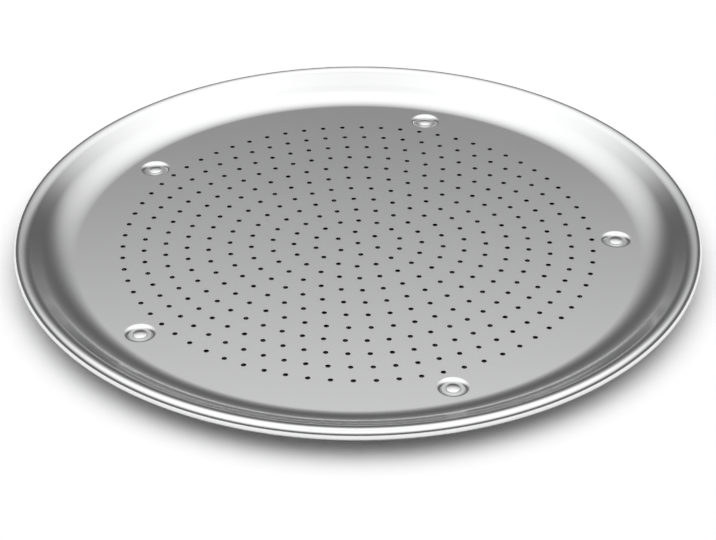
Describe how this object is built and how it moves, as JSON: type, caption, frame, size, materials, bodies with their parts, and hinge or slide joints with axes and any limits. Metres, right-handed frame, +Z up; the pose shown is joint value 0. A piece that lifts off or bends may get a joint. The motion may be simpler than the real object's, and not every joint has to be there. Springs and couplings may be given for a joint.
{
  "type": "pizza pan",
  "caption": "Round perforated pizza pan with a low flared wall, a rolled rim and low riveted feet under pressed wells in the floor.",
  "frame": {"origin": "middle of the plane that the feet stand on, under the centre of the pan", "axes": "+Z up out of the open side; +Y away from the viewer of the picture and +X to the right"},
  "size_m": [0.4052, 0.4052, 0.0174],
  "materials": {
    "pan_aluminium": "bare rolled aluminium, satin to bright",
    "wire_steel": "drawn steel wire",
    "rivet_aluminium": "bare aluminium, bright",
    "foot_steel": "turned stainless steel"
  },
  "bodies": {
    "root": {"pan_shell": "pan_aluminium", "rim_wire": "wire_steel", "foot_rivets": "rivet_aluminium", "foot_1": "foot_steel", "foot_2": "foot_steel", "foot_3": "foot_steel", "foot_4": "foot_steel", "foot_5": "foot_steel"}
  },
  "joints": []
}
